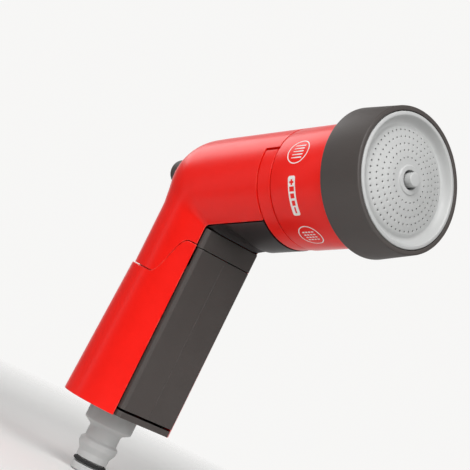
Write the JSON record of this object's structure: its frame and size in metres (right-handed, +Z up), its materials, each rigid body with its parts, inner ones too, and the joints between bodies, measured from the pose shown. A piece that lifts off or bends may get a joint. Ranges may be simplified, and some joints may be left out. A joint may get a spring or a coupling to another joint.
{
  "type": "hand-held watering wand",
  "caption": "Pistol-grip hand sprayer with a squeeze trigger, thumb button, and an inclined barrel that carries a turning rose head with a centre jet.",
  "frame": {"origin": "centre of the end face of the hose inlet at the bottom of the grip", "axes": "+Z up along the grip, +X towards the side the water leaves, XZ the plane of symmetry"},
  "size_m": [0.1344, 0.058, 0.1845],
  "materials": {
    "red_gloss": "glossy moulded ABS",
    "charcoal_satin": "satin moulded polypropylene, fine spark texture",
    "black_satin": "satin moulded ABS",
    "pale_grey": "satin moulded acetal",
    "inner_plastic": "plain moulded plastic",
    "rubber": "moulded nitrile rubber",
    "steel": "drawn stainless steel",
    "acetal": "natural acetal"
  },
  "bodies": {
    "gun_body": {"head_shell": "red_gloss", "rear_grip_shell": "red_gloss", "front_block": "charcoal_satin", "trigger_pivot_pin": "steel", "trigger_spring": "steel", "bottom_cap": "charcoal_satin", "cap_screw_left": "steel", "cap_screw_right": "steel", "inlet_nipple": "pale_grey", "inlet_o_ring": "rubber", "inlet_strainer": "acetal", "inlet_tube": "acetal", "valve_body": "inner_plastic", "valve_cap": "inner_plastic", "stem_gland": "rubber", "outlet_tube": "acetal", "barrel_band": "red_gloss", "underside_cover": "black_satin", "head_spindle": "inner_plastic", "spindle_o_ring": "rubber", "head_retaining_ring": "steel"},
    "trigger": {"trigger_lever": "charcoal_satin"},
    "stem": {"valve_stem": "steel", "valve_seal": "rubber", "valve_spring": "steel"},
    "thumb_button": {"lock_button": "charcoal_satin", "lock_spring": "steel"},
    "spray_head": {"selector_collar": "red_gloss", "bezel_ring": "charcoal_satin", "head_core": "inner_plastic", "distributor_plate": "acetal", "rose_gasket": "rubber", "rose_plate": "pale_grey"},
    "jet": {"jet_pin": "pale_grey"}
  },
  "joints": [
    {"name": "trigger_squeeze", "type": "hinge", "parent": "gun_body", "child": "trigger", "pos_m": [0.014, 0, 0.0995], "axis": [0, 1, 0], "range_deg": [0, 7], "stiffness_Nm_per_rad": 2, "springref_deg": -3.44},
    {"name": "stem_slide", "type": "slide", "parent": "gun_body", "child": "stem", "axis": [1, 0, 0], "range_m": [-0.00215, 0]},
    {"name": "button_press", "type": "slide", "parent": "gun_body", "child": "thumb_button", "axis": [1, 0, 0], "range_m": [0, 0.0025], "stiffness_N_per_m": 900, "springref_m": -0.001},
    {"name": "head_turn", "type": "hinge", "parent": "gun_body", "child": "spray_head", "pos_m": [0.003, 0, 0.127], "axis": [0.9511, 0, 0.309], "range_deg": [-87, 0]},
    {"name": "jet_slide", "type": "slide", "parent": "spray_head", "child": "jet", "axis": [0.9511, 0, 0.309], "range_m": [-0.00205, 0]}
  ],
  "couplings": [
    {"joint": "stem_slide", "follows": "trigger_squeeze", "m_per_rad": -0.0175},
    {"joint": "jet_slide", "follows": "head_turn", "m_per_rad": 0.001317}
  ]
}
